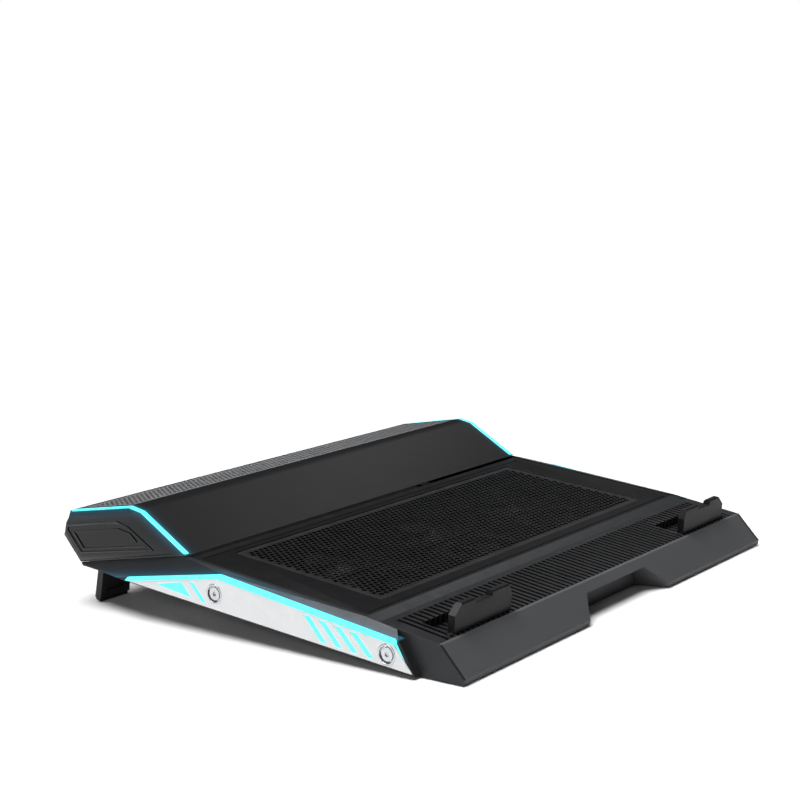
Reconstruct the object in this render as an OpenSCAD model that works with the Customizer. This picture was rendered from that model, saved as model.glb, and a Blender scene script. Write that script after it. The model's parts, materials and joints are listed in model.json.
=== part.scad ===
// Laptop cooling pad: wedge-shaped stand with a raised rear head, six fans
// under a mesh deck, flip-up front stops and fold-out rear feet.
// Everything is laid out in a body frame (bottom plane z = 0, front tip y = 0)
// and then tilted so that the front lip and the two rear feet rest on z = 0.

/* [Body] */
// Width of the shell between the outer faces of its side walls
shell_w = 434; // [420:1:450]
// Height of the deck above the base at its front edge
deck_h = 30; // [29.5:0.5:31]
// Rise of the deck from its front edge to the foot of the head
deck_rise = 2.5; // [1.5:0.5:3]
// Thickness of the moulded shell walls
wall = 2.2; // [2:0.1:2.4]
// Tilt of the pad with its rear feet folded out
tilt = 5.2; // [4.6:0.1:5.8]

/* [Head] */
// Height of the raised rear head above the base
head_h = 59.2; // [57:0.2:61]
// Width of the light strip on each end of the head
head_light_w = 4.8; // [4:0.2:6.4]

/* [Sides] */
// Depth by which each side module stands out from the shell
module_t = 8; // [7:0.5:9]
// Height of the side light strip
side_light_h = 4; // [3.4:0.1:4.4]

/* [Front] */
// Pitch of the ribs in the front grille
rib_pitch = 6; // [5.5:0.5:7]
// Width of the gap between two ribs
rib_gap = 2.9; // [2:0.1:3]
// Width of the front notch at its top edge
notch_top = 88; // [70:1:100]
// Width of the front notch at the lip
notch_bottom = 120; // [110:1:130]

/* [Stops and feet] */
// Width of each flip-up stop
stop_w = 68; // [60:1:72]
// Height of each stop above its hinge axis
stop_len = 21; // [17:0.5:22]
// Width of each fold-out foot
foot_w = 31; // [26:1:32]
// Thickness of each foot plate
foot_t = 6.4; // [5:0.2:6.6]

/* [Fans] */
// Outer radius of the fan blades
blade_r = 32.6; // [28:0.2:33]
// Number of blades on each fan
blade_n = 9; // [5:1:11]

/* [Hidden] */
$fn = 48;

hw = shell_w/2;              // half width of the shell
iw = hw - wall - 0.2;        // half width of what fits between the walls
front_y = 36;                // where the flat base starts
tip_z = front_y*tan(tilt);   // height of the front tip above the base plane
lip_z = tip_z + 4;           // top of the front lip
bez_y = 20;                  // rear top edge of the bezel face
bez_z = 26;
deck_y0 = 84;                // front edge of the deck panel
deck_y1 = 254;               // foot of the head ramp
pad_t = 0.8;                 // rubber below the front lip
rib_y0 = 22.8;
rib_y1 = 66;
grille_y1 = 70;
hinge_fy = 358.5;            // rear foot hinge
hinge_fz = 4.2;
foot_lean = 8;
hinge_sy = 28.2;             // stop hinge
hinge_sz = 25.4;
stop_x = 160;                // centre of each stop
foot_x = 193;              // centre of each foot
z_off = pad_t - front_y*sin(tilt);
rear_y = 392.6;
y_mid = (-0.3*cos(tilt) - lip_z*sin(tilt) + rear_y*cos(tilt) - 20.8*sin(tilt))/2;
foot_len = (hinge_fy*sin(tilt) + hinge_fz*cos(tilt) + z_off)/cos(foot_lean - tilt);

function deck_z(y) = deck_h + deck_rise*(y - deck_y0)/(deck_y1 - deck_y0);

// head outline in (y, z)
ha = [384.9, 42.5];
hb = [318.6, head_h];
hc = [305, head_h - 1.3];
hd = [255.8, deck_z(deck_y1) + 1.7];
he = [372.8, 2.4];
hf = [rear_y, 20.8];
head_pts = [hd, hc, hb, ha, hf, he];

// side module outline in (y, z)
ma = [34.8, 1.4];
mb = [50.2, 24];
mc = [213.8, 31.4];
md = [310.5, 6.6];
me = [316.5, 2];
mod_pts = [ma, mb, mc, md, me];

fan_xy = [[-118, 130], [0, 130], [118, 130], [-118, 208], [0, 208], [118, 208]];
post_xy = [[-198, 77], [0, 77], [198, 77], [-198, 249.5], [0, 249.5], [198, 249.5]];
bolt_yz = [[219.3, 15.3], [58.3, 11.8]];

module place() translate([0, -y_mid, z_off]) rotate([tilt, 0, 0]) children();
// extrude a (y, z) outline along x from x0 to x1
module along(x0, x1) translate([x0, 0, 0]) rotate([90, 0, 90])
  linear_extrude(x1 - x0) children();
module box(a, b) translate(a) cube(b - a);
module flip(s) mirror([s > 0 ? 1 : 0, 0, 0]) children();
module rod(x0, x1, y, z, r) translate([x0, y, z]) rotate([0, 90, 0]) cylinder(r = r, h = x1 - x0);

// ------------------------------------------------------------------ shell
module side_wall_2d() polygon([[front_y, 0], [0, tip_z], [-0.3, lip_z],
  [bez_y, bez_z], [24, 26.5], [59, 28.8], [70, 29.2], [75, 27.6],
  [deck_y0, deck_h + 0.6], [deck_y1, deck_z(deck_y1) + 0.6], [372.6, 2.2], [370.8, 0]]);

module top_shell() color("#3a3c40") place() difference() {
  union() {
    for (s = [-1, 1]) flip(s) along(-hw, -hw + wall) side_wall_2d();
    // front cross bar with its shallow groove
    along(-hw + 1, hw - 1) polygon([[70.2, 24], [70.2, 29.2], [75, 27.6],
      [deck_y0 - 0.2, deck_h + 0.2], [deck_y0 - 0.2, 24]]);
    // ledges that carry the deck panel
    along(-hw + 1, hw - 1) polygon([[80, 24], [94, 24], [94, deck_z(94) - 2.4], [80, deck_z(80) - 2.4]]);
    along(-hw + 1, hw - 1) polygon([[242, 25], [253, 25], [253, deck_z(253) - 2.4], [242, deck_z(242) - 2.4]]);
    for (s = [-1, 1]) flip(s) along(-hw + 1, -hw + 12)
      polygon([[80, deck_z(80) - 4.6], [253, deck_z(253) - 4.6], [253, deck_z(253) - 2.4], [80, deck_z(80) - 2.4]]);
    for (p = post_xy) translate([p[0], p[1], 10.2]) cylinder(r = 4, h = 15);
  }
  for (p = post_xy) translate([p[0], p[1], 5]) cylinder(r = 1.5, h = 16);
  for (s = [-1, 1]) flip(s) for (p = bolt_yz) rod(-hw - 1, -hw + 4, p[0], p[1], 2.05);
}

module deck_panel() color("#141517") place() difference() {
  along(-hw + wall + 0.2, hw - wall - 0.2) polygon([[deck_y0, deck_h - 2.2], [deck_y0, deck_h],
    [deck_y1, deck_z(deck_y1)], [deck_y1, deck_z(deck_y1) - 2.2]]);
  // seat of the mesh and the window under it
  along(-182, 182) polygon([[98, deck_z(98) - 1.85], [98, 60], [240, 60], [240, deck_z(240) - 1.85]]);
  box([-179, 101, 20], [179, 237, 40]);
  for (y = [88, 246]) along(-hw + wall + 6, hw - wall - 6)
    translate([y, deck_z(y)]) square([0.8, 1.0], center = true);
}

module deck_mesh() color("#2b2d31") place() difference() {
  along(-181.8, 181.8) polygon([[98.2, deck_z(98.2) - 1.8], [98.2, deck_z(98.2) - 0.4],
    [239.8, deck_z(239.8) - 0.4], [239.8, deck_z(239.8) - 1.8]]);
  for (i = [-14:14], j = [0:6]) box([i*12 - 4, 104 + j*19, 20], [i*12 + 4, 119 + j*19, 40]);
}

module base_tray() color("#232427") place() difference() {
  union() {
    box([-iw, front_y, 0], [iw, 370.6, 2]);
    box([-iw, front_y, 0], [iw, front_y + 2, 18.6]);
    for (s = [-1, 1]) flip(s) box([-iw, front_y, 0], [-iw + 2, 250, 18]);
    for (p = post_xy) translate([p[0], p[1], 0]) cylinder(r = 5, h = 10);
    for (s = [-1, 1]) flip(s) box([-iw, 317, 0], [-175.2, 366.4, 11.2]);
    for (x = [114, 192]) translate([x, 352, 0]) cylinder(r = 3.2, h = 25.8);
  }
  for (p = fan_xy) translate([p[0], p[1], 0]) {
    translate([0, 0, -1]) difference() {
      union() for (r = [18, 23.5, 29]) difference() {
        cylinder(r = r + 3.4, h = 4);
        translate([0, 0, -1]) cylinder(r = r, h = 6);
      }
      for (a = [0:45:135]) rotate([0, 0, a]) translate([-40, -1.6, -1]) cube([80, 3.2, 6]);
    }
  }
  for (p = post_xy) translate([p[0], p[1], -1]) {
    cylinder(r = 1.7, h = 20);
    cylinder(r = 3.4, h = 3);
  }
  // foot pockets, open below
  for (s = [-1, 1]) flip(s) {
    box([-foot_x - foot_w/2 - 0.5, 319, -1], [-foot_x + foot_w/2 + 0.5, 363, 9.4]);
    rod(-iw - 1, -173, hinge_fy, hinge_fz, 1.52);
  }
}

// ------------------------------------------------------------------ front
module bezel_2d() polygon([[front_y - 0.3, 0.1], [0, tip_z], [-0.3, lip_z],
  [bez_y, bez_z], [22.5, 26.2], [22.5, 18.8], [front_y - 0.3, 18.8]]);
// outline of the notch, g wider all round and n narrower on each side
module notch_2d(g, n) polygon([[-notch_bottom/2 - 3 - g + n, -4], [-notch_bottom/2 - g + n, lip_z],
  [-notch_top/2 - g + n*0.3, 20.4 + g*0.6], [notch_top/2 + g - n*0.3, 20.4 + g*0.6],
  [notch_bottom/2 + g - n, lip_z], [notch_bottom/2 + 3 + g - n, -4]]);
module notch_cut(g) hull() {
  translate([0, -5, 0]) rotate([90, 0, 0]) linear_extrude(0.1) notch_2d(g, 0);
  translate([0, 26, 0]) rotate([90, 0, 0]) linear_extrude(0.1) notch_2d(g, 11);
}
module front_bezel() color("#56575b") place() difference() {
  along(-iw, iw) bezel_2d();
  // hollow chambers left and right of the notch, open to the rear
  difference() {
    along(-iw + 2, iw - 2) polygon([[front_y, 2.3], [3.6, tip_z + 2], [3.2, lip_z - 0.6], [20.6, 23.3],
      [22.6, 23.3], [22.6, 16.8], [front_y, 16.8]]);
    notch_cut(2.4);
    box([-52.4, 25, -4], [52.4, 60, 30]);
  }
  notch_cut(0);
  // the panel across the back of the notch is 2 thick
  box([-50, 28, -4], [50, 60, 16.8]);
}

module grille_2d() polygon([[rib_y0, 19], [rib_y0, 26.3], [24, 26.5], [59, 28.8],
  [grille_y1, 29.2], [grille_y1, 21], [rib_y0 + 9, 19]]);
module front_grille() color("#2a2b2e") place() difference() {
  along(-iw, iw) grille_2d();
  for (i = [-34:34]) {
    box([i*rib_pitch - rib_gap/2, 31.5, 15], [i*rib_pitch + rib_gap/2, rib_y1, 34]);
    box([i*rib_pitch - rib_gap/2, 20, 22.4], [i*rib_pitch + rib_gap/2, 32, 34]);
  }
  for (s = [-1, 1]) flip(s) {
    box([-stop_x - stop_w/2 - 1.2, hinge_sy - 3.6, 21.9], [-stop_x + stop_w/2 + 1.2, hinge_sy + stop_len + 2.6, 34]);
    rod(-stop_x - stop_w/2 - 3.5, -stop_x + stop_w/2 + 3.5, hinge_sy, hinge_sz, 1.27);
  }
}

// one stop in the left position: plate, hinge barrel and chamfered corners
module stop_2d() difference() {
  translate([-stop_x, 0]) polygon([[-stop_w/2 + 1.5, 0], [-stop_w/2, hinge_sz + 13.6], [-stop_w/2 + 8, hinge_sz + stop_len],
    [stop_w/2 - 4, hinge_sz + stop_len], [stop_w/2, hinge_sz + 13.6], [stop_w/2 - 2.5, 0]]);
  translate([-stop_x, 0]) polygon([[-9.5, hinge_sz + stop_len - 4], [-11, hinge_sz + stop_len + 1],
    [11, hinge_sz + stop_len + 1], [9.5, hinge_sz + stop_len - 4]]);
}
module stop_body() difference() {
  union() {
    intersection() {
      translate([0, hinge_sy + 3, 0]) rotate([90, 0, 0]) linear_extrude(6) stop_2d();
      along(-220, -100) polygon([[hinge_sy - 3, hinge_sz], [hinge_sy - 3, hinge_sz + stop_len - 1],
        [hinge_sy - 2, hinge_sz + stop_len], [hinge_sy + 1.5, hinge_sz + stop_len], [hinge_sy + 3, hinge_sz + stop_len - 1.5],
        [hinge_sy + 3, hinge_sz]]);
    }
    rod(-stop_x - stop_w/2 + 1, -stop_x + stop_w/2 - 1, hinge_sy, hinge_sz, 3);
  }
  rod(-stop_x - stop_w/2 - 1, -stop_x + stop_w/2 + 1, hinge_sy, hinge_sz, 1.3);
}
module stop_left() color("#3b3d41") place() stop_body();
module stop_right() color("#3b3d41") place() mirror([1, 0, 0]) stop_body();
module stop_pins() color("#b9bcc0") place() for (s = [-1, 1]) flip(s)
  rod(-stop_x - stop_w/2 - 3.4, -stop_x + stop_w/2 + 3.4, hinge_sy, hinge_sz, 1.25);

// ------------------------------------------------------------------ head
module head_shell() color("#26272a") place() {
  head_body();
  // ribs that carry the mesh
  for (x = [-106, -36, 36, 90]) along(x - 1, x + 1) intersection() {
    offset(delta = -1.8) polygon(head_pts);
    polygon([[320, 52], [320, 62], [384, 45], [384, 36]]);
  }
}
module head_body() difference() {
  along(-iw, iw) polygon(head_pts);
  along(-iw + wall, iw - wall) offset(delta = -wall) polygon(head_pts);
  // open underside
  along(-iw + wall, iw - wall) polygon([[257, 12], [257, -2], [371.5, -2], [371.5, 6.4], [262, 34.4]]);
  along(-hw, hw) polygon([[230, 2.3], [371.6, 2.3], [371.6, -5], [230, -5]]);
  // mesh opening with a ledge around it
  along(-207, 207) difference() {
    polygon([[323, 44], [323, 70], [381, 70], [381, 30]]);
    offset(delta = -1.75) polygon(head_pts);
  }
  along(-204, 204) polygon([[326, 44], [326, 70], [378, 70], [378, 30]]);
  // seats of the light strips
  for (s = [-1, 1]) flip(s) along(-hw - 1, -hw - 0.2 + head_light_w + 0.1) light_band_2d(1.3);
  // clearance for the foot pockets
  for (s = [-1, 1]) flip(s) box([-iw - 1, 316.6, -1], [-174.6, 366.8, 11.6]);
  // rear bay for the sockets and controls
  box([100, 376, 22.5], [198, 400, 39]);
  // exhaust slots in the rear face
  for (i = [0:11]) box([-190 + i*22, 380, 26], [-176 + i*22, 400, 29.5]);
  for (i = [0:11]) box([-190 + i*22, 376, 33], [-176 + i*22, 400, 36.5]);
}
module head_mesh() color("#6c6f73") place() intersection() {
  difference() {
    along(-206.8, 206.8) difference() {
      offset(delta = -0.3) polygon(head_pts);
      offset(delta = -1.6) polygon(head_pts);
    }
    for (i = [-16:16], j = [0:3]) box([i*12.4 - 4.6, 326.5 + j*13.5, 30], [i*12.4 + 4.6, 337 + j*13.5, 70]);
  }
  box([-206.8, 323.2, 36], [206.8, 380.8, 70]);
}
// band of depth d along the ramp, top and rear slope of the head
module light_band_2d(d) intersection() {
  difference() { polygon(head_pts); offset(delta = -d) polygon(head_pts); }
  polygon([[250, 34.9 - d*0.1], [262, 34.9 - d*0.1], [305, 50], [318, 50], [383.2 + d*0.3, 36], [383.2 + d*0.3, 50], [318, 80], [296, 80]]);
}
module head_light() along(-hw - 0.2, -hw - 0.2 + head_light_w) light_band_2d(1.2);
module head_light_left() color("#6ff8ff") place() head_light();
module head_light_right() color("#6ff8ff") place() mirror([1, 0, 0]) head_light();

module cap_2d() difference() {
  offset(delta = -0.3) polygon(head_pts);
  offset(delta = 0.1) light_band_2d(1.2);
}
// straight raised bar of width w between two points
module bar(a, b, w) {
  n = w/2*[a[1] - b[1], b[0] - a[0]]/norm(b - a);
  e = w/2*(b - a)/norm(b - a);
  polygon([a - e - n, a - e + n, b + e + n, b + e - n]);
}
cap_face = [[388, 32], [329.5, 49.4], [315.2, 47.9], [281.7, 29.9], [370.8, 8.2], [389.4, 25]];
cap_ring = [[386, 30.6], [330, 45.6], [316.3, 43.6], [288.9, 31], [370.3, 10.4], [387.4, 26.4]];
module head_cap() union() {
  along(-hw - 0.4, -hw + 2.3) cap_2d();
  // slanted band between the light and the raised face
  hull() {
    along(-hw - 0.45, -hw - 0.3) offset(delta = -1.5) polygon(head_pts);
    along(-hw - 1.9, -hw - 1.8) polygon(cap_face);
  }
  along(-hw - 2.7, -hw - 1.85) {
    difference() { polygon(cap_ring); offset(delta = -1.3) polygon(cap_ring); }
    bar([375.8, 26.9], [327.7, 39.5], 1.2);
    bar([327.7, 39.5], [314.6, 38.5], 1.2);
    bar([314.6, 38.5], [308, 34], 1.2);
    bar([378.4, 25.8], [366.9, 15.1], 1.1);
    bar([366.9, 15.1], [298, 32.4], 1.1);
  }
}
module head_cap_left() color("#1c1d20") place() head_cap();
module head_cap_right() color("#1c1d20") place() mirror([1, 0, 0]) head_cap();
module head_led() along(-iw + wall + 0.2, -iw + wall + 1.4) polygon([[306, 46], [338, 46], [338, 51], [306, 51]]);
module head_led_board_left() color("#e8eae6") place() head_led();
module head_led_board_right() color("#e8eae6") place() mirror([1, 0, 0]) head_led();

// ------------------------------------------------------------------ side modules
mx = hw + module_t;   // outer face of a side module
module side_rail() difference() {
  union() {
    along(-mx + 1.66, -hw - 0.05) polygon(mod_pts);
    // slanted shoulder from the deck rim down to the light strip
    hull() {
      along(-mx + 1.66, -mx + 1.9) polygon([mb, mc, mc - [0, 3], mb - [-2, 4]]);
      along(-hw - 0.3, -hw - 0.05) polygon([[56, 28.4], [deck_y0, deck_h + 0.5], [252, deck_z(252) + 0.5], [252, 24], [56, 20]]);
    }
    hull() {
      along(-mx + 1.66, -mx + 1.9) polygon([mc, md, me, me - [14, 0], mc - [0, 3]]);
      along(-hw - 0.3, -hw - 0.05) polygon([[252, deck_z(252) + 0.5], [258, 33.4], [372.5, 2.4], [370.5, 0.8], [330, 1.2], [252, 24]]);
    }
  }
  // room for the light guide
  along(-mx - 1, -mx + 3.65) offset(delta = -2.5) polygon(mod_pts);
  // parting groove in the front edge
  along(-mx + 4.2, -mx + 4.9) difference() {
    polygon([[25, -1], [60, -1], [48.6, 23], [30, 23]]);
    offset(delta = -0.8) polygon(mod_pts);
  }
  // pocket for the LED board
  box([-mx + 3, 68, 6.8], [-mx + 5.6, 242, 15.2]);
  for (p = bolt_yz) rod(-mx, -hw + 1, p[0], p[1], 2.1);
}
module strip_2d() union() {
  translate([53, 24.27 - side_light_h/2]) circle(r = side_light_h/2);
  polygon([[53, 24.27], mc, md, [314, 3.3], [311.6, 3.3], [217.4, 31.2 - side_light_h], [53, 24.27 - side_light_h]]);
}
module stripe(y0, z0, y1, z1, w) polygon([[y0, z0], [y0 - w, z0 + 0.6], [y1 - w, z1 + 0.2], [y1, z1]]);
module windows_2d() {
  polygon([[280.7, 8.2], [252.9, 16.2], [242, 6.2]]);
  stripe(245.6, 18, 232.3, 5.8, 5.2);
  for (i = [0:3]) stripe(133.3 - i*14.03, 21 - i*0.45, 116.8 - i*14.03, 5.2, 6);
}
module side_light() difference() {
  union() {
    along(-mx + 1.59, -mx + 3.6) offset(delta = -2.6) polygon(mod_pts);
    along(-mx - 0.2, -mx + 1.6) strip_2d();
    along(-mx + 0.7, -mx + 1.61) offset(delta = -0.12) windows_2d();
  }
  for (p = bolt_yz) rod(-mx - 1, -hw + 1, p[0], p[1], 7.7);
}
module side_plate() difference() {
  along(-mx, -mx + 1.5) difference() {
    polygon([[36.9, 3.3], [53.1, 20.2], [217.4, 27.4], [311.8, 3.3]]);
    offset(delta = 0.12) strip_2d();
    windows_2d();
  }
  for (p = bolt_yz) rod(-mx - 1, -hw + 1, p[0], p[1], 7.5);
}
module side_light_left() color("#6ff8ff") place() side_light();
module side_light_right() color("#6ff8ff") place() mirror([1, 0, 0]) side_light();
module side_plate_left() color("#eeeeee") place() side_plate();
module side_plate_right() color("#eeeeee") place() mirror([1, 0, 0]) side_plate();
module side_rail_left() color("#38393d") place() side_rail();
module side_rail_right() color("#38393d") place() mirror([1, 0, 0]) side_rail();
module side_led() along(-mx + 3.8, -mx + 5.2) polygon([[70, 7.2], [240, 7.2], [240, 14.8], [70, 14.8]]);
module side_led_cut() difference() {
  side_led();
  for (p = bolt_yz) rod(-mx, -hw + 1, p[0], p[1], 3.2);
}
module side_led_board_left() color("#e8eae6") place() side_led_cut();
module side_led_board_right() color("#e8eae6") place() mirror([1, 0, 0]) side_led_cut();
module side_bolts() color("#d9dadc") place() for (s = [-1, 1]) flip(s) for (p = bolt_yz) difference() {
  union() {
    rod(-mx + 0.2, -mx + 1.9, p[0], p[1], 4.9);
    rod(-mx + 1.8, -hw + 1.9, p[0], p[1], 2);
  }
  translate([-mx - 1, p[0], p[1]]) rotate([0, 90, 0]) cylinder(r = 1.9, h = 2.6, $fn = 6);
}
module side_bolt_cups() color("#c4c6c9") place() for (s = [-1, 1]) flip(s) for (p = bolt_yz) difference() {
  rod(-mx - 0.3, -mx + 3.5, p[0], p[1], 7.4);
  rod(-mx - 1, -mx + 2, p[0], p[1], 6.3);
  rod(-mx - 1, -mx + 5, p[0], p[1], 2.1);
}

// ------------------------------------------------------------------ feet and pads
// foot in the left position, hinge axis at the origin, folded out along -z
module foot_plate() difference() {
  union() {
    rod(-foot_w/2, foot_w/2, 0, 0, foot_t/2);
    box([-foot_w/2, -foot_t/2, -foot_len + 2], [foot_w/2, foot_t/2, 0]);
  }
  rod(-foot_w, foot_w, 0, 0, 1.55);
  // shallow finger hollow on the front face
  box([-foot_w/2 + 6, -foot_t/2 - 1, -foot_len + 9], [foot_w/2 - 6, -foot_t/2 + 1.2, -foot_len + 22]);
  // sole cut parallel to the table
  translate([0, 0, -foot_len + 1.6]) rotate([foot_lean - tilt, 0, 0]) translate([-30, -10, -8]) cube([60, 20, 8]);
}
module sole() intersection() {
  box([-foot_w/2 + 1, -foot_t/2 + 0.3, -foot_len - 3], [foot_w/2 - 1, foot_t/2 - 0.3, -foot_len + 4]);
  translate([0, 0, -foot_len + 1.6]) rotate([foot_lean - tilt, 0, 0]) translate([-30, -10, -1.6*cos(foot_lean - tilt)]) cube([60, 20, 1.6*cos(foot_lean - tilt)]);
}
module at_foot() translate([-foot_x, hinge_fy, hinge_fz]) rotate([foot_lean, 0, 0]) children();
module foot_left() color("#2b2c2f") place() at_foot() foot_plate();
module foot_right() color("#2b2c2f") place() mirror([1, 0, 0]) at_foot() foot_plate();
module foot_pad_left() color("#1b1b1c") place() at_foot() sole();
module foot_pad_right() color("#1b1b1c") place() mirror([1, 0, 0]) at_foot() sole();
module foot_pins() color("#b9bcc0") place() for (s = [-1, 1]) flip(s)
  rod(-iw + 0.1, -175.4, hinge_fy, hinge_fz, 1.5);
module front_pads() color("#1b1b1c") place() for (s = [-1, 1]) flip(s)
  translate([0, front_y, 0]) rotate([-tilt, 0, 0]) translate([-200, -30, -pad_t]) cube([110, 22, pad_t]);
module rear_pads() color("#1b1b1c") place() for (s = [-1, 1]) flip(s)
  translate([-140, 344, -2]) cylinder(r = 9, h = 2);
module case_screws() color("#8b8d90") place() for (p = post_xy) translate([p[0], p[1], 0]) difference() {
  union() {
    translate([0, 0, 0.4]) cylinder(r = 3, h = 1.6);
    translate([0, 0, 1.9]) cylinder(r = 1.4, h = 16);
  }
  for (a = [0, 90]) rotate([0, 0, a]) translate([-2, -0.4, 0]) cube([4, 0.8, 1.2]);
}

// ------------------------------------------------------------------ fans
module rotor() difference() {
  union() {
    difference() {
      translate([0, 0, 6.4]) cylinder(r = 13, h = 13.4);
      translate([0, 0, 5]) cylinder(r = 11.6, h = 13);
    }
    translate([0, 0, 4.6]) cylinder(r = 1.5, h = 14.5);
    intersection() {
      for (k = [0:blade_n - 1]) rotate([0, 0, k*360/blade_n]) translate([12.4, 0, 12.8])
        rotate([0, 90, 0]) linear_extrude(24) polygon([[-5.6, -6.2], [-2.6, -1.6], [1.4, 2.8],
          [5.6, 6.2], [6.0, 5.2], [2.4, 1.6], [-1.4, -2.6], [-4.6, -6.8]]);
      difference() {
        translate([0, 0, 5]) cylinder(r = blade_r, h = 16);
        translate([0, 0, 4]) cylinder(r = 12.6, h = 18);
      }
    }
  }
}
module fan_frame() difference() {
  translate([-36, -36, 2.05]) cube([72, 72, 15.95]);
  cylinder(r = 34.2, h = 30);
  for (x = [-32.4, 32.4], y = [-32.4, 32.4]) translate([x, y, 0]) cylinder(r = 1.7, h = 30);
  // gate for the wires
  for (y = [-38, 32]) translate([-1.8, y, 0]) cube([3.6, 6, 6]);
}
module stator() difference() {
  union() {
    translate([0, 0, 2.02]) cylinder(r = 14, h = 2);
    translate([0, 0, 4]) cylinder(r = 4, h = 12);
    difference() {
      translate([0, 0, 6.2]) cylinder(r = 10.6, h = 6);
      for (a = [0:45:315]) rotate([0, 0, a + 22.5]) translate([6.2, -0.8, 6]) cube([6, 1.6, 8]);
    }
    translate([0, 0, 4]) cylinder(r = 5.4, h = 2.3);
  }
  translate([0, 0, 4.3]) cylinder(r = 2.8, h = 14);
}
module bearing() difference() {
  translate([0, 0, 5.2]) cylinder(r = 2.76, h = 10.4);
  translate([0, 0, 4]) cylinder(r = 1.55, h = 14);
}
module at_fan(i) place() translate([fan_xy[i][0], fan_xy[i][1], 0]) children();
module fan_1_frame() color("#2a2c30") at_fan(0) fan_frame();
module fan_2_frame() color("#2a2c30") at_fan(1) fan_frame();
module fan_3_frame() color("#2a2c30") at_fan(2) fan_frame();
module fan_4_frame() color("#2a2c30") at_fan(3) fan_frame();
module fan_5_frame() color("#2a2c30") at_fan(4) fan_frame();
module fan_6_frame() color("#2a2c30") at_fan(5) fan_frame();
module fan_1_rotor() color("#303236") at_fan(0) rotor();
module fan_2_rotor() color("#303236") at_fan(1) rotor();
module fan_3_rotor() color("#303236") at_fan(2) rotor();
module fan_4_rotor() color("#303236") at_fan(3) rotor();
module fan_5_rotor() color("#303236") at_fan(4) rotor();
module fan_6_rotor() color("#303236") at_fan(5) rotor();
module fan_1_stator() color("#8c5a2e") at_fan(0) stator();
module fan_2_stator() color("#8c5a2e") at_fan(1) stator();
module fan_3_stator() color("#8c5a2e") at_fan(2) stator();
module fan_4_stator() color("#8c5a2e") at_fan(3) stator();
module fan_5_stator() color("#8c5a2e") at_fan(4) stator();
module fan_6_stator() color("#8c5a2e") at_fan(5) stator();
module fan_bearings() color("#b08d4a") for (i = [0:5]) at_fan(i) bearing();
module wire_harness() color("#222222") place() union() {
  box([-119, 168, 2.4], [157.4, 170, 4.4]);
  for (p = fan_xy) if (p[1] < 169) box([p[0] - 1, p[1] + 14.1, 2.4], [p[0] + 1, 169, 4.4]);
    else box([p[0] - 1, 169, 2.4], [p[0] + 1, p[1] - 14.1, 4.4]);
  box([155.4, 169, 2.4], [157.4, 361, 4.4]);
  box([155.4, 359, 3], [157.4, 361, 25.8]);
}

// ------------------------------------------------------------------ controls
module control_board() color("#1e5a3a") place() difference() {
  union() {
    box([106, 344, 26], [200, 380.6, 27.6]);
    box([120, 350, 27.5], [130, 360, 29.4]);
    box([140, 348, 27.5], [150, 356, 31]);
    translate([160, 354, 27.5]) cylinder(r = 4, h = 7);
    translate([172, 354, 27.5]) cylinder(r = 3, h = 6);
  }
  for (x = [114, 192]) translate([x, 352, 20]) cylinder(r = 1.6, h = 12);
  // room behind the button
  box([180.4, 376.4, 20], [191.6, 390, 30]);
}
module io_panel() color("#232427") place() difference() {
  union() {
    box([98.4, 381, 20.6], [199.6, 383.2, 40.2]);
    box([100.4, 382, 22.9], [197.6, 388.6, 24.1]);
  }
  for (x = [120, 142]) box([x - 7.3, 378, 27.5], [x + 7.3, 386, 35.1]);
  box([156, 378, 31], [174, 386, 36.2]);
  translate([186, 378, 31.5]) rotate([-90, 0, 0]) cylinder(r = 3.75, h = 12);
}
module usb(x) difference() {
  box([x - 7.1, 369, 27.7], [x + 7.1, 384, 34.9]);
  difference() {
    box([x - 6.4, 371.5, 28.6], [x + 6.4, 386, 34.0]);
    box([x - 5.4, 371, 31.2], [x + 5.4, 382.6, 33.1]);
  }
}
module usb_power_socket() color("#c9ccd0") place() usb(120);
module usb_hub_socket() color("#c9ccd0") place() usb(142);
module speed_wheel() color("#17181a") place() translate([165, 377.2, 0]) difference() {
  union() {
    translate([0, 0, 31.6]) cylinder(r = 9, h = 4);
    translate([0, 0, 28.4]) cylinder(r = 1.5, h = 3.4);
  }
  for (a = [0:12:348]) rotate([0, 0, a]) translate([9.2, 0, 31]) cylinder(r = 0.5, h = 6, $fn = 16);
  translate([7, 0, 35]) cylinder(r = 0.9, h = 2);
}
module speed_pot() color("#2b4f7f") place() translate([165, 377.2, 0]) difference() {
  box([-5.5, -6, 27.7], [5.5, 3, 31.2]);
  translate([0, 0, 28]) cylinder(r = 1.55, h = 6);
}
module light_button() color("#d9f8ff") place() translate([186, 0, 31.5]) rotate([-90, 0, 0]) union() {
  translate([0, 0, 378]) cylinder(r = 4.6, h = 1.4);
  translate([0, 0, 379]) cylinder(r = 3.5, h = 5.8);
}
module light_switch() color("#4a4c50") place() union() {
  box([183, 369, 27.7], [189, 374, 34.6]);
  translate([186, 373.9, 31.5]) rotate([-90, 0, 0]) cylinder(r = 1.7, h = 2.5);
}

base_tray();
top_shell();
deck_panel();
deck_mesh();
front_bezel();
front_grille();
head_shell();
head_mesh();
head_cap_left();
head_cap_right();
head_light_left();
head_light_right();
head_led_board_left();
head_led_board_right();
side_rail_left();
side_rail_right();
side_light_left();
side_light_right();
side_plate_left();
side_plate_right();
side_led_board_left();
side_led_board_right();
side_bolts();
side_bolt_cups();
stop_left();
stop_right();
stop_pins();
foot_left();
foot_right();
foot_pad_left();
foot_pad_right();
foot_pins();
front_pads();
rear_pads();
case_screws();
fan_1_frame();
fan_2_frame();
fan_3_frame();
fan_4_frame();
fan_5_frame();
fan_6_frame();
fan_1_rotor();
fan_2_rotor();
fan_3_rotor();
fan_4_rotor();
fan_5_rotor();
fan_6_rotor();
fan_1_stator();
fan_2_stator();
fan_3_stator();
fan_4_stator();
fan_5_stator();
fan_6_stator();
fan_bearings();
wire_harness();
control_board();
io_panel();
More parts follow.
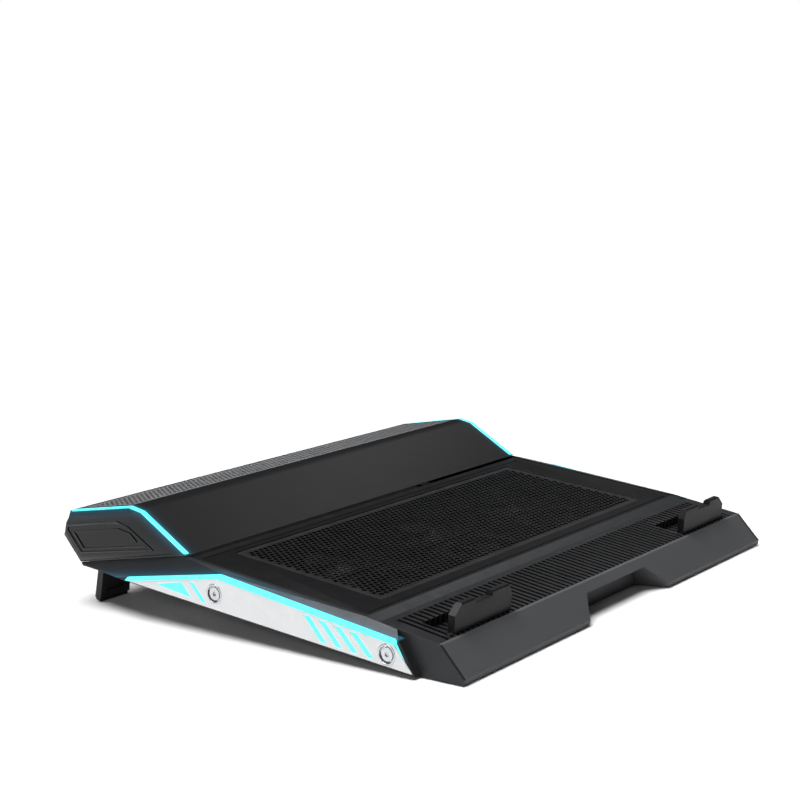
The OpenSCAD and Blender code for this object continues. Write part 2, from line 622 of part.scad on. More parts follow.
usb_power_socket();
usb_hub_socket();
speed_wheel();
speed_pot();
light_button();
light_switch();
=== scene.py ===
import json
import math
import random

import bmesh
import bpy
from mathutils import Matrix, Vector


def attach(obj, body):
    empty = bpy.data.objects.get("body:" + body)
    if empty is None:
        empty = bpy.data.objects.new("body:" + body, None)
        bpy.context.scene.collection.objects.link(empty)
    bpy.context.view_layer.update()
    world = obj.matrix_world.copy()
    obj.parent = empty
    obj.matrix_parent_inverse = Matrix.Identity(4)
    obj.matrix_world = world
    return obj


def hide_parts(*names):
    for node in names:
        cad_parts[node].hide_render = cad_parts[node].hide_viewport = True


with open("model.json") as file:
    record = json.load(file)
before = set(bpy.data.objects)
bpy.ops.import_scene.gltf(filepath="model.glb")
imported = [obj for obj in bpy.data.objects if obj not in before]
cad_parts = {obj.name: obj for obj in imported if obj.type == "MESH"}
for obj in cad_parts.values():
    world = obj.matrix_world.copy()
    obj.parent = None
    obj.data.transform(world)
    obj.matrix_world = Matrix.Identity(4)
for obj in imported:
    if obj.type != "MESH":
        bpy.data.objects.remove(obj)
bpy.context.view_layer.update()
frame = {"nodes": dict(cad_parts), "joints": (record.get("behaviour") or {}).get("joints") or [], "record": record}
nodes = frame["nodes"]
scene = bpy.context.scene

# ---------------------------------------------------------------- body frame
# The pad is laid out in a body frame (base plane z = 0, front tip y = 0) and
# tilted on its feet. A fan's axis gives the tilt, a foot's hinge the offset.
joint = {j["name"]: j for j in frame["joints"]}
S, C = -joint["fan_1_spin"]["axis"][1], joint["fan_1_spin"]["axis"][2]
HINGE_Y, HINGE_Z = 358.5, 4.2
Y_OFF = joint["foot_left_fold"]["pos_m"][1] * 1000 - (HINGE_Y * C - HINGE_Z * S)
Z_OFF = joint["foot_left_fold"]["pos_m"][2] * 1000 - (HINGE_Y * S + HINGE_Z * C)


def P(x, y, z):
    """A point of the body frame in millimetres, in the row frame in metres."""
    return Vector((x, y * C - z * S + Y_OFF, y * S + z * C + Z_OFF)) / 1000


def body_xy(pos):
    """Body-frame x and y in millimetres of a row-frame point in metres."""
    y, z = pos[1] * 1000 - Y_OFF, pos[2] * 1000 - Z_OFF
    return pos[0] * 1000, y * C + z * S


def deck_z(y):
    return 30 + 2.5 * (y - 84) / 170


X_AXIS = Vector((1, 0, 0))
Y_BODY = Vector((0, C, S))
Z_BODY = Vector((0, -S, C))

# ---------------------------------------------------------------- camera
cam_data = bpy.data.cameras.new("camera")
cam = bpy.data.objects.new("camera", cam_data)
scene.collection.objects.link(cam)
cam_data.lens = 73.747
cam_data.sensor_width = 36
cam_data.clip_start = 0.05
cam.matrix_world = Matrix(((0.614733, 0.147208, -0.774876, -1.04781),
                           (-0.788043, 0.073491, -0.611218, -0.80500),
                           (-0.033029, 0.986372, 0.161184, 0.36069),
                           (0, 0, 0, 1)))
scene.camera = cam
scene.view_settings.view_transform = "Standard"
scene.view_settings.look = "None"

# ---------------------------------------------------------------- materials


def new_material(name):
    m = bpy.data.materials.new(name)
    m.use_nodes = True
    nt = m.node_tree
    for n in list(nt.nodes):
        nt.nodes.remove(n)
    out = nt.nodes.new("ShaderNodeOutputMaterial")
    bsdf = nt.nodes.new("ShaderNodeBsdfPrincipled")
    nt.links.new(bsdf.outputs["BSDF"], out.inputs["Surface"])
    return m, nt, bsdf


def N(nt, kind, **values):
    n = nt.nodes.new(kind)
    for k, v in values.items():
        if k in n.inputs:
            n.inputs[k].default_value = v
        else:
            setattr(n, k, v)
    return n


def math_node(nt, op, a, b=None):
    n = nt.nodes.new("ShaderNodeMath")
    n.operation = op
    for i, v in enumerate((a, b)):
        if v is None:
            continue
        if isinstance(v, (int, float)):
            n.inputs[i].default_value = v
        else:
            nt.links.new(v, n.inputs[i])
    return n.outputs[0]


def ramp(nt, src, stops):
    n = nt.nodes.new("ShaderNodeValToRGB")
    els = n.color_ramp.elements
    els[0].position, els[0].color = stops[0][0], (*stops[0][1], 1)
    els[1].position, els[1].color = stops[-1][0], (*stops[-1][1], 1)
    for pos, col in stops[1:-1]:
        e = els.new(pos)
        e.color = (*col, 1)
    nt.links.new(src, n.inputs[0])
    return n.outputs[0]


def mix_color(nt, fac, a, b, mode="MIX"):
    n = nt.nodes.new("ShaderNodeMix")
    n.data_type = "RGBA"
    n.blend_type = mode
    for sock, v in ((n.inputs[0], fac), (n.inputs[6], a), (n.inputs[7], b)):
        if isinstance(v, (int, float)):
            sock.default_value = v
        elif isinstance(v, tuple):
            sock.default_value = (*v, 1)
        else:
            nt.links.new(v, sock)
    return n.outputs[2]


def moulded(name, color, rough=0.45, grain=2600, bump=0.25, vary=0.10, wear=0.35,
            coat=0.0, spec=0.5, painted_led_spill=None, smudge=0.06, metallic=0.0, flake=0.0):
    """Moulded or painted part: fine grain, cloudy tone, soft smudges, lighter edges.
    The glow dict paints light: blue LED light spill, painted as emission on the surface beside an LED edge and fading
    over reach. It holds either an x_edge or a line of (y, z) pairs."""
    m, nt, b = new_material(name)
    co = N(nt, "ShaderNodeTexCoord").outputs["Object"]
    fine = N(nt, "ShaderNodeTexNoise", Scale=grain, Detail=3.0, Roughness=0.6)
    cloud = N(nt, "ShaderNodeTexNoise", Scale=9.0, Detail=4.0, Roughness=0.55)
    spots = N(nt, "ShaderNodeTexNoise", Scale=60.0, Detail=5.0, Roughness=0.62)
    vor = N(nt, "ShaderNodeTexVoronoi", Scale=grain * 0.55)
    for t in (fine, cloud, spots, vor):
        nt.links.new(co, t.inputs["Vector"])
    lo = tuple(max(0.0, c * (1 - vary)) for c in color)
    hi = tuple(min(1.0, c * (1 + vary)) for c in color)
    tone = ramp(nt, cloud.outputs[0], [(0.3, lo), (0.7, hi)])
    geo = N(nt, "ShaderNodeNewGeometry")
    edge = N(nt, "ShaderNodeMapRange", **{"From Min": 0.53, "From Max": 0.62})
    nt.links.new(geo.outputs["Pointiness"], edge.inputs["Value"])
    worn = math_node(nt, "MULTIPLY", edge.outputs[0], math_node(nt, "MULTIPLY", spots.outputs[0], wear))
    light = tuple(min(1.0, c * 1.5 + 0.035) for c in color)
    tone = mix_color(nt, worn, tone, light)
    if flake:
        sp = N(nt, "ShaderNodeMapRange", **{"From Min": 0.0, "From Max": 0.25, "To Min": flake, "To Max": 0.0})
        nt.links.new(vor.outputs["Distance"], sp.inputs["Value"])
        tone = mix_color(nt, sp.outputs[0], tone, tuple(min(1.0, c * 2.2 + 0.05) for c in color))
    nt.links.new(tone, b.inputs["Base Color"])
    r = N(nt, "ShaderNodeMapRange", **{"From Min": 0.3, "From Max": 0.7,
                                       "To Min": max(0.02, rough - smudge), "To Max": min(1.0, rough + smudge)})
    nt.links.new(spots.outputs[0], r.inputs["Value"])
    nt.links.new(r.outputs[0], b.inputs["Roughness"])
    h = math_node(nt, "ADD", fine.outputs[0], math_node(nt, "MULTIPLY", vor.outputs["Distance"], 0.8))
    bp = N(nt, "ShaderNodeBump", Strength=bump, Distance=0.00008)
    nt.links.new(h, bp.inputs["Height"])
    nt.links.new(bp.outputs[0], b.inputs["Normal"])
    b.inputs["Specular IOR Level"].default_value = spec
    b.inputs["Metallic"].default_value = metallic
    if coat:
        b.inputs["Coat Weight"].default_value = coat
        b.inputs["Coat Roughness"].default_value = 0.06
    # painted light: blue LED light spill as emission, fading inwards from the shell's side edge, on its upper part only
    if painted_led_spill and "x_edge" in painted_led_spill:
        side = N(nt, "ShaderNodeSeparateXYZ")
        nt.links.new(co, side.inputs[0])
        d = math_node(nt, "SUBTRACT", painted_led_spill["x_edge"] / 1000, math_node(nt, "ABSOLUTE", side.outputs[0]))
        painted_spill_falloff = math_node(nt, "POWER", 2.718, math_node(nt, "MULTIPLY", math_node(nt, "MAXIMUM", d, 0.0), -1000.0 / painted_led_spill["reach"]))
        painted_spill_upper_mask = N(nt, "ShaderNodeMapRange", **{"From Min": P(0, 250, 31)[2], "From Max": P(0, 262, 36)[2]})
        nt.links.new(side.outputs[2], painted_spill_upper_mask.inputs["Value"])
        painted_spill_color = mix_color(nt, math_node(nt, "MULTIPLY", painted_spill_falloff, painted_spill_upper_mask.outputs[0]), (0.0, 0.0, 0.0), painted_led_spill["color"])
        nt.links.new(painted_spill_color, b.inputs["Emission Color"])
        b.inputs["Emission Strength"].default_value = painted_led_spill["strength"]
    # painted light: blue LED light spill as emission, fading with distance from the LED line, on one side of it
    elif painted_led_spill:
        d = None
        for (y0, z0), (y1, z1) in zip(painted_led_spill["line"], painted_led_spill["line"][1:]):
            length = math.hypot(y1 - y0, z1 - z0)
            ny, nz = -(z1 - z0) / length, (y1 - y0) / length
            if nz < 0:
                ny, nz = -ny, -nz
            world = (Y_BODY * ny + Z_BODY * nz)
            k = world.dot(P(0, y0, z0))
            dot = N(nt, "ShaderNodeVectorMath", operation="DOT_PRODUCT")
            nt.links.new(co, dot.inputs[0])
            dot.inputs[1].default_value = world
            di = math_node(nt, "SUBTRACT", dot.outputs["Value"], k)
            d = di if d is None else math_node(nt, "MAXIMUM", d, di)
        if painted_led_spill.get("below"):
            d = math_node(nt, "MULTIPLY", d, -1.0)
        painted_spill_near_mask = math_node(nt, "GREATER_THAN", d, -0.0007)
        painted_spill_falloff = math_node(nt, "POWER", 2.718, math_node(nt, "MULTIPLY", math_node(nt, "MAXIMUM", d, 0.0), -1000.0 / painted_led_spill["reach"]))
        side = N(nt, "ShaderNodeSeparateXYZ")
        nt.links.new(co, side.inputs[0])
        far = math_node(nt, "GREATER_THAN", math_node(nt, "ABSOLUTE", side.outputs[0]), painted_led_spill.get("x_min", 0.0))
        painted_spill_falloff = math_node(nt, "MULTIPLY", math_node(nt, "MULTIPLY", painted_spill_falloff, painted_spill_near_mask), far)
        painted_spill_color = mix_color(nt, painted_spill_falloff, (0.0, 0.0, 0.0), painted_led_spill["color"])
        nt.links.new(painted_spill_color, b.inputs["Emission Color"])
        b.inputs["Emission Strength"].default_value = painted_led_spill["strength"]
    return m


def lit(name, strength=1.12):
    """Milky light guide, lit from behind: LED pitch shows faintly along it."""
    m, nt, b = new_material(name)
    co = N(nt, "ShaderNodeTexCoord").outputs["Object"]
    wave = N(nt, "ShaderNodeTexWave", Scale=18.0, Distortion=0.6, Detail=1.0, bands_direction="Y")
    cloud = N(nt, "ShaderNodeTexNoise", Scale=160.0, Detail=3.0)
    nt.links.new(co, wave.inputs["Vector"])
    nt.links.new(co, cloud.inputs["Vector"])
    mixv = math_node(nt, "ADD", math_node(nt, "MULTIPLY", wave.outputs[1], 0.5), math_node(nt, "MULTIPLY", cloud.outputs[0], 0.5))
    col = ramp(nt, mixv, [(0.2, (0.115, 0.93, 0.96)), (0.8, (0.135, 1.0, 1.0))])
    nt.links.new(col, b.inputs["Emission Color"])
    b.inputs["Emission Strength"].default_value = strength
    b.inputs["Base Color"].default_value = (0.02, 0.20, 0.22, 1)
    r = N(nt, "ShaderNodeMapRange", **{"To Min": 0.18, "To Max": 0.34})
    nt.links.new(cloud.outputs[0], r.inputs["Value"])
    nt.links.new(r.outputs[0], b.inputs["Roughness"])
    bp = N(nt, "ShaderNodeBump", Strength=0.08, Distance=0.00005)
    nt.links.new(cloud.outputs[0], bp.inputs["Height"])
    nt.links.new(bp.outputs[0], b.inputs["Normal"])
    return m


def metal(name, color, rough=0.28, brush=(1, 1, 1), scale=900, bump=0.12):
    m, nt, b = new_material(name)
    co = N(nt, "ShaderNodeTexCoord").outputs["Object"]
    mp = N(nt, "ShaderNodeMapping", Scale=brush)
    nt.links.new(co, mp.inputs["Vector"])
    n1 = N(nt, "ShaderNodeTexNoise", Scale=scale, Detail=6.0, Roughness=0.7)
    n2 = N(nt, "ShaderNodeTexNoise", Scale=35.0, Detail=3.0)
    nt.links.new(mp.outputs[0], n1.inputs["Vector"])
    nt.links.new(co, n2.inputs["Vector"])
    tone = ramp(nt, n2.outputs[0], [(0.25, tuple(c * 0.86 for c in color)), (0.75, tuple(min(1, c * 1.06) for c in color))])
    nt.links.new(tone, b.inputs["Base Color"])
    r = N(nt, "ShaderNodeMapRange", **{"From Min": 0.25, "From Max": 0.75, "To Min": rough * 0.7, "To Max": rough * 1.4})
    nt.links.new(n1.outputs[0], r.inputs["Value"])
    nt.links.new(r.outputs[0], b.inputs["Roughness"])
    bp = N(nt, "ShaderNodeBump", Strength=bump, Distance=0.00005)
    nt.links.new(n1.outputs[0], bp.inputs["Height"])
    nt.links.new(bp.outputs[0], b.inputs["Normal"])
    b.inputs["Metallic"].default_value = 1.0
    return m


# LED lines in body (y, z), mm: the painted blue LED light spill fades away from them
SIDE_LINE = [(50.2, 24.0), (213.8, 31.4), (310.5, 6.6)]
HEAD_LINE = [(255.8, 34.2), (305, 57.9), (318.6, 59.2), (384.9, 42.5)]
# colour of the painted LED light spill
PAINTED_SPILL_BLUE = (0.012, 0.125, 0.21)

mat = {
    "shell": moulded("shell_plastic", (0.014, 0.0148, 0.0168), rough=0.42, wear=0.6, spec=0.28),
    "base": moulded("base_plastic", (0.008, 0.0082, 0.009), rough=0.55, bump=0.4, spec=0.3),
    "deck": moulded("deck_plastic", (0.0040, 0.0042, 0.0048), rough=0.38, bump=0.18, smudge=0.03, wear=0.8, spec=0.22),
    "deck_mesh": moulded("powder_coat", (0.006, 0.0062, 0.007), rough=0.45, grain=3400, bump=0.5, spec=0.3),
    "head_mesh": moulded("mesh_coat", (0.16, 0.163, 0.17), rough=0.34, grain=3400, bump=0.4, spec=0.5, metallic=0.3),
    "bezel": moulded("bezel_paint", (0.066, 0.0672, 0.0715), rough=0.52, grain=3000, bump=0.16, vary=0.05, wear=0.12, smudge=0.03, flake=0.10, spec=0.25),
    "grille": moulded("grille_plastic", (0.0075, 0.0078, 0.0088), rough=0.42, wear=1.2, spec=0.25),
    # head shell, head cap and side rail: painted blue LED light spill, as emission beside the LED strips
    "head_shell": moulded("head_plastic", (0.0040, 0.0042, 0.0050), rough=0.40, bump=0.22, vary=0.05, smudge=0.012, spec=0.19,
                          painted_led_spill={"x_edge": 212.4, "reach": 2.0, "color": PAINTED_SPILL_BLUE, "strength": 0.8}),
    "head_cap": moulded("gloss_black", (0.0034, 0.0035, 0.0041), rough=0.22, bump=0.05, wear=2.2, smudge=0.02, vary=0.06, spec=0.30,
                        painted_led_spill={"line": HEAD_LINE, "below": True, "reach": 2.6, "color": PAINTED_SPILL_BLUE, "strength": 1.0}),
    "side_rail": moulded("rail_plastic", (0.014, 0.0148, 0.0168), rough=0.44, spec=0.28,
                         painted_led_spill={"line": SIDE_LINE, "reach": 2.0, "color": PAINTED_SPILL_BLUE, "strength": 0.6}),
    "side_plate": moulded("white_paint", (0.71, 0.715, 0.72), rough=0.40, grain=3000, bump=0.18, vary=0.015, wear=0.0, flake=0.05),
    "side_bolt": metal("bright_steel", (0.62, 0.63, 0.65), rough=0.24),
    "light_guide": lit("light_guide"),
    "led_board": moulded("board_white", (0.72, 0.74, 0.72), rough=0.5, vary=0.04),
    "stop": moulded("stop_plastic", (0.0040, 0.0042, 0.0050), rough=0.46, wear=1.4, smudge=0.03, spec=0.20),
    "foot": moulded("foot_plastic", (0.010, 0.0103, 0.0112), rough=0.45, spec=0.35),
    "steel": metal("pin_steel", (0.58, 0.59, 0.61), rough=0.3),
    "rubber": moulded("rubber", (0.012, 0.012, 0.0124), rough=0.8, bump=0.5, spec=0.3),
    "fan_rotor": moulded("fan_plastic", (0.010, 0.0104, 0.0115), rough=0.5, bump=0.1, wear=0.6, spec=0.25),
    "fan_stator": metal("coil_copper", (0.62, 0.30, 0.14), rough=0.35),
    "bearing": metal("bronze", (0.62, 0.46, 0.22), rough=0.4),
    "wire": moulded("wire_skin", (0.02, 0.02, 0.021), rough=0.5),
    "circuit_board": moulded("solder_mask", (0.015, 0.12, 0.05), rough=0.3, vary=0.2, grain=800),
    "socket_metal": metal("nickel", (0.72, 0.73, 0.75), rough=0.22),
    "wheel": moulded("wheel_rubber", (0.014, 0.014, 0.0146), rough=0.6, bump=0.4),
    "pot": moulded("pot_case", (0.03, 0.10, 0.24), rough=0.4),
    "button": moulded("button_cap", (0.55, 0.60, 0.62), rough=0.3, vary=0.03),
    "switch": moulded("switch_case", (0.06, 0.062, 0.066), rough=0.5),
}

slot_of = {s["node"]: s["material_slot"] for s in frame["record"]["subparts"]}
for name, ob in nodes.items():
    ob.data.materials.clear()
    ob.data.materials.append(mat[slot_of[name]])


def refine(ob, width, segments=2, angle=28.0):
    """Rounds the edges of a CAD node: merges its coplanar facets, then bevels."""
    w = ob.modifiers.new("weld", "WELD")
    w.merge_threshold = 0.000004
    if not ob.name.startswith(("side_plate", "side_light")):
        d = ob.modifiers.new("planar", "DECIMATE")
        d.decimate_type = "DISSOLVE"
        d.angle_limit = math.radians(0.6)
    b = ob.modifiers.new("bevel", "BEVEL")
    b.width = width / 1000
    b.segments = segments
    b.limit_method = "ANGLE"
    b.angle_limit = math.radians(angle)
    b.use_clamp_overlap = True
    b.harden_normals = False
    n = ob.modifiers.new("normals", "WEIGHTED_NORMAL")
    n.keep_sharp = False
    n.weight = 80


BEVELS = {
    "top_shell": 0.35, "deck_panel": 0.25, "front_bezel": 0.3, "front_grille": 0.35,
    "head_shell": 0.5, "head_cap_left": 0.35, "head_cap_right": 0.35,
    "side_rail_left": 0.3, "side_rail_right": 0.3, "side_plate_left": 0.25, "side_plate_right": 0.25,
    "side_light_left": 0.35, "side_light_right": 0.35, "head_light_left": 0.7, "head_light_right": 0.7,
    "stop_left": 0.5, "stop_right": 0.5, "foot_left": 0.5, "foot_right": 0.5,
    "side_bolts": 0.25, "side_bolt_cups": 0.3, "base_tray": 0.25, "io_panel": 0.25,
    "front_pads": 0.2, "rear_pads": 0.4, "foot_pad_left": 0.2, "foot_pad_right": 0.2,
    "usb_power_socket": 0.15, "usb_hub_socket": 0.15, "speed_wheel": 0.15, "light_button": 0.4,
}
BEVELS.update({"fan_%d_frame" % k: 0.3 for k in range(1, 7)})
for name, width in BEVELS.items():
    refine(nodes[name], width)

# ---------------------------------------------------------------- mesh helpers


def make_object(name, bm, material, smooth=True):
    me = bpy.data.meshes.new(name)
    bm.normal_update()
    bm.to_mesh(me)
    bm.free()
    if smooth:
        for p in me.polygons:
            p.use_smooth = True
    me.materials.append(material)
    ob = bpy.data.objects.new(name, me)
    scene.collection.objects.link(ob)
    return ob


def hex_sheet(name, to_world, u0, u1, v0, v1, pu, pv, open_part, thick, border, material):
    """Perforated sheet with staggered hexagonal openings and a plain rim.
    to_world maps sheet coordinates (u, v, height) in mm to the row frame."""
    bm = bmesh.new()
    key = {}

    def vert(u, v):
        k = (round(u * 200), round(v * 200))
        if k not in key:
            key[k] = bm.verts.new((u, v, 0))
        return key[k]

    nu = int((u1 - u0 - 2 * border) / pu) + 1
    nv = int((v1 - v0 - 2 * border) / pv) + 1
    cu, cv = (u0 + u1) / 2, (v0 + v1) / 2
    corners = [(0, 2 / 3), (-0.5, 1 / 3), (-0.5, -1 / 3), (0, -2 / 3), (0.5, -1 / 3), (0.5, 1 / 3)]
    iu0, iu1, iv0, iv1 = u0 + border, u1 - border, v0 + border, v1 - border
    for j in range(-nv, nv + 1):
        for i in range(-nu, nu + 1):
            x = cu + (i + (0.5 if j % 2 else 0)) * pu
            y = cv + j * pv
            if x < iu0 - pu or x > iu1 + pu or y < iv0 - pv or y > iv1 + pv:
                continue
            outer = [(min(max(x + a * pu, iu0), iu1), min(max(y + b * pv, iv0), iv1)) for a, b in corners]
            area = 0.0
            for k in range(6):
                (xa, ya), (xb, yb) = outer[k], outer[(k + 1) % 6]
                area += xa * yb - xb * ya
            if abs(area) < 0.05 * pu * pv:
                continue
            mx = sum(p[0] for p in outer) / 6
            my = sum(p[1] for p in outer) / 6
            full = abs(area) / 2 > 0.93 * pu * pv
            ov = [vert(*p) for p in outer]
            if full:
                iv = [bm.verts.new((x + a * pu * open_part, y + b * pv * open_part, 0)) for a, b in corners]
                for k in range(6):
                    q = [ov[k], ov[(k + 1) % 6], iv[(k + 1) % 6], iv[k]]
                    if len(set(q)) == 4:
                        bm.faces.new(q)
            else:
                seen = []
                for p in ov:
                    if p not in seen:
                        seen.append(p)
                if len(seen) >= 3:
                    try:
                        bm.faces.new(seen)
                    except ValueError:
                        pass
    # plain rim
    rim = [(u0, v0), (u1, v0), (u1, v1), (u0, v1)]
    inn = [(iu0, iv0), (iu1, iv0), (iu1, iv1), (iu0, iv1)]
    for k in range(4):
        a, b = rim[k], rim[(k + 1) % 4]
        c, d = inn[(k + 1) % 4], inn[k]
        bm.faces.new([bm.verts.new((*a, 0)), bm.verts.new((*b, 0)), bm.verts.new((*c, 0)), bm.verts.new((*d, 0))])
    bmesh.ops.recalc_face_normals(bm, faces=bm.faces)
    for f in bm.faces:
        if f.normal.z < 0:
            f.normal_flip()
    res = bmesh.ops.extrude_face_region(bm, geom=bm.faces[:])
    top = [g for g in res["geom"] if isinstance(g, bmesh.types.BMVert)]
    for v in top:
        v.co.z += thick
    bmesh.ops.recalc_face_normals(bm, faces=bm.faces)
    for v in bm.verts:
        v.co = to_world(v.co.x, v.co.y, v.co.z)
    return make_object(name, bm, material, smooth=False)


# deck mesh: lies in its seat in the deck, follows the deck's slope
def on_deck(u, v, h):
    return P(u, v, deck_z(v) - 1.5 + h)


deck_sheet = hex_sheet("deck_sheet", on_deck, -181.6, 181.6, 98.4, 239.6, 5.2, 4.5, 0.78, 0.9, 2.6, mat["deck_mesh"])
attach(deck_sheet, "pad")
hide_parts("deck_mesh")

# head mesh: lies in the head's rear slope
hb, ha = (318.6, 59.2), (384.9, 42.5)
hl = math.hypot(ha[0] - hb[0], ha[1] - hb[1])
hdir = ((ha[0] - hb[0]) / hl, (ha[1] - hb[1]) / hl)


def on_head(u, v, h):
    return P(u, hb[0] + hdir[0] * v - hdir[1] * (h - 1.4), hb[1] + hdir[1] * v + hdir[0] * (h - 1.4))


head_sheet = hex_sheet("head_sheet", on_head, -206.6, 206.6, 4.9, 64.0, 4.6, 2.9, 0.66, 1.2, 2.0, mat["head_mesh"])
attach(head_sheet, "pad")
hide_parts("head_mesh")


# ---------------------------------------------------------------- fans
def lathe(bm, profile, steps=48):
    rings = []
    for r, z in profile:
        if r < 1e-6:
            rings.append([bm.verts.new((0, 0, z))])
        else:
            rings.append([bm.verts.new((r * math.cos(2 * math.pi * k / steps), r * math.sin(2 * math.pi * k / steps), z))
                          for k in range(steps)])
    for a, b in zip(rings, rings[1:]):
        for k in range(steps):
            k2 = (k + 1) % steps
            if len(a) == 1 and len(b) == 1:
                continue
            if len(a) == 1:
                bm.faces.new([a[0], b[k2], b[k]])
            elif len(b) == 1:
                bm.faces.new([a[k], a[k2], b[0]])
            else:
                bm.faces.new([a[k], a[k2], b[k2], b[k]])


def rotor_mesh():
    bm = bmesh.new()
    lathe(bm, [(0, 18.6), (3.2, 18.6), (3.6, 19.0), (8.2, 19.0), (8.6, 19.4), (11.6, 19.4), (12.5, 19.1), (12.95, 18.3),
               (13.0, 17.0), (13.0, 6.6), (12.8, 6.4), (11.8, 6.4), (11.6, 6.6), (11.6, 17.8), (11.4, 18.0), (1.5, 18.0),
               (1.5, 4.8), (1.3, 4.6), (0, 4.6)])
    blades = 9
    nr, nc = 12, 8
    for k in range(blades):
        base = 2 * math.pi * k / blades
        grid = {}
        for i in range(nr + 1):
            t = i / nr
            r = 12.6 + (32.5 - 12.6) * t
            pitch = math.radians(50 - 22 * t)
            chord = 12.0 + 5.0 * t
            sweep = math.radians(16) * t * t
            for j in range(nc + 1):
                q = j / nc
                s = (q - 0.5) * chord
                camber = 1.1 * (1 - (2 * q - 1) ** 2)
                half = 0.14 + 0.62 * math.sin(math.pi * min(1, max(0, q * 0.9 + 0.08))) * (1 - 0.35 * t)
                for side in (1, -1):
                    d = camber + side * half
                    along = s * math.cos(pitch) - d * math.sin(pitch)
                    up = s * math.sin(pitch) + d * math.cos(pitch)
                    up = max(-6.6, min(6.2, up))
                    ang = base + sweep + along / r
                    grid[i, j, side] = bm.verts.new((r * math.cos(ang), r * math.sin(ang), 12.7 + up))
        for side in (1, -1):
            for i in range(nr):
                for j in range(nc):
                    q = [grid[i, j, side], grid[i + 1, j, side], grid[i + 1, j + 1, side], grid[i, j + 1, side]]
                    bm.faces.new(q if side == 1 else q[::-1])
        for i in range(nr):
            for j in (0, nc):
                q = [grid[i, j, 1], grid[i, j, -1], grid[i + 1, j, -1], grid[i + 1, j, 1]]
                bm.faces.new(q if j == 0 else q[::-1])
        for j in range(nc):
            for i in (0, nr):
                q = [grid[i, j, 1], grid[i, j + 1, 1], grid[i, j + 1, -1], grid[i, j, -1]]
                bm.faces.new(q if i == 0 else q[::-1])
    bmesh.ops.recalc_face_normals(bm, faces=bm.faces)
    return bm


FANS = [body_xy(joint["fan_%d_spin" % k]["pos_m"]) for k in range(1, 7)]
for i, (fx, fy) in enumerate(FANS):
    bm = rotor_mesh()
    turn = Matrix.Rotation(math.radians(11 * i), 3, "Z")
    for v in bm.verts:
        c = turn @ v.co
        v.co = P(fx + c.x, fy + c.y, c.z)
    ob = make_object("fan_%d_impeller" % (i + 1), bm, mat["fan_rotor"])
    e = ob.modifiers.new("split", "EDGE_SPLIT")
    e.split_angle = math.radians(38)
    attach(ob, "fan_%d" % (i + 1))
    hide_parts("fan_%d_rotor" % (i + 1))

# ---------------------------------------------------------------- stage
bm = bmesh.new()
bmesh.ops.create_grid(bm, x_segments=24, y_segments=24, size=9.0)
fm, fnt, fb = new_material("floor_white")
fco = N(fnt, "ShaderNodeTexCoord").outputs["Object"]
fn = N(fnt, "ShaderNodeTexNoise", Scale=2.5, Detail=4.0)
fnt.links.new(fco, fn.inputs["Vector"])
fnt.links.new(ramp(fnt, fn.outputs[0], [(0.3, (0.90, 0.90, 0.905)), (0.7, (0.925, 0.925, 0.93))]), fb.inputs["Base Color"])
fr = N(fnt, "ShaderNodeMapRange", **{"From Min": 0.3, "From Max": 0.7, "To Min": 0.10, "To Max": 0.14})
fnt.links.new(fn.outputs[0], fr.inputs["Value"])
fnt.links.new(fr.outputs[0], fb.inputs["Roughness"])
fb.inputs["Specular IOR Level"].default_value = 0.4
dist = N(fnt, "ShaderNodeVectorMath", operation="LENGTH")
fnt.links.new(fco, dist.inputs[0])
far = N(fnt, "ShaderNodeMapRange", **{"From Min": 0.45, "From Max": 1.6, "To Min": 0.0, "To Max": 0.9})
far.interpolation_type = "SMOOTHSTEP"
fnt.links.new(dist.outputs["Value"], far.inputs["Value"])
fb.inputs["Emission Color"].default_value = (1, 1, 1, 1)
fnt.links.new(far.outputs[0], fb.inputs["Emission Strength"])
floor = make_object("floor", bm, fm)

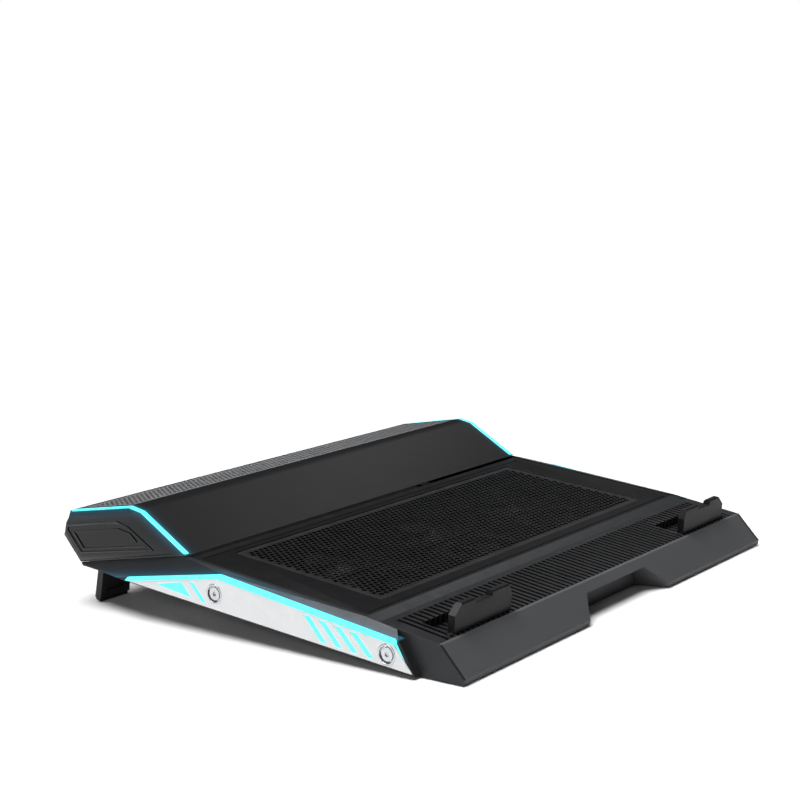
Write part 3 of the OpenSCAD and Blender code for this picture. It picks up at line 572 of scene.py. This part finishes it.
# studio: dim surroundings; the camera sees plain white
world = bpy.data.worlds.new("studio")
scene.world = world
world.use_nodes = True
wn = world.node_tree
for n in list(wn.nodes):
    wn.nodes.remove(n)
w_out = wn.nodes.new("ShaderNodeOutputWorld")
w_mix = wn.nodes.new("ShaderNodeMixShader")
w_seen = wn.nodes.new("ShaderNodeBackground")
w_seen.inputs[0].default_value = (1, 1, 1, 1)
w_seen.inputs[1].default_value = 1.0
w_lit = wn.nodes.new("ShaderNodeBackground")
w_lit.inputs[0].default_value = (1, 1, 1, 1)
w_path = wn.nodes.new("ShaderNodeLightPath")
w_co = wn.nodes.new("ShaderNodeTexCoord")
w_sep = wn.nodes.new("ShaderNodeSeparateXYZ")
w_map = wn.nodes.new("ShaderNodeMapRange")
w_map.interpolation_type = "SMOOTHSTEP"
for k, v in (("From Min", 0.02), ("From Max", 0.16), ("To Min", 0.036), ("To Max", 0.030)):
    w_map.inputs[k].default_value = v
wn.links.new(w_co.outputs["Generated"], w_sep.inputs[0])
wn.links.new(w_sep.outputs[2], w_map.inputs["Value"])
wn.links.new(w_map.outputs[0], w_lit.inputs[1])
wn.links.new(w_path.outputs["Is Camera Ray"], w_mix.inputs[0])
wn.links.new(w_lit.outputs[0], w_mix.inputs[1])
wn.links.new(w_seen.outputs[0], w_mix.inputs[2])
wn.links.new(w_mix.outputs[0], w_out.inputs["Surface"])


def softbox(name, loc, target, size, power, color=(1, 1, 1)):
    ld = bpy.data.lights.new(name, "AREA")
    ld.shape = "RECTANGLE"
    ld.size, ld.size_y = size
    ld.energy = power
    ld.color = color
    ob = bpy.data.objects.new(name, ld)
    scene.collection.objects.link(ob)
    ob.location = loc
    ob.rotation_euler = (Vector(target) - Vector(loc)).to_track_quat("-Z", "Y").to_euler()
    return ob


sun = bpy.data.lights.new("overhead", "SUN")
sun.energy = 5.1
sun.angle = math.radians(42)
sun_ob = bpy.data.objects.new("overhead", sun)
scene.collection.objects.link(sun_ob)
sun_ob.rotation_euler = Vector((0.10, -0.22, -1)).to_track_quat("-Z", "Y").to_euler()

softbox("side_fill", (-2.0, -0.4, 0.75), (-0.2, 0, 0), (1.4, 0.9), 8.5)
softbox("ramp_sheen", (1.10, 0.22, 1.10), (-0.15, 0.05, 0.05), (0.5, 0.5), 1.5)
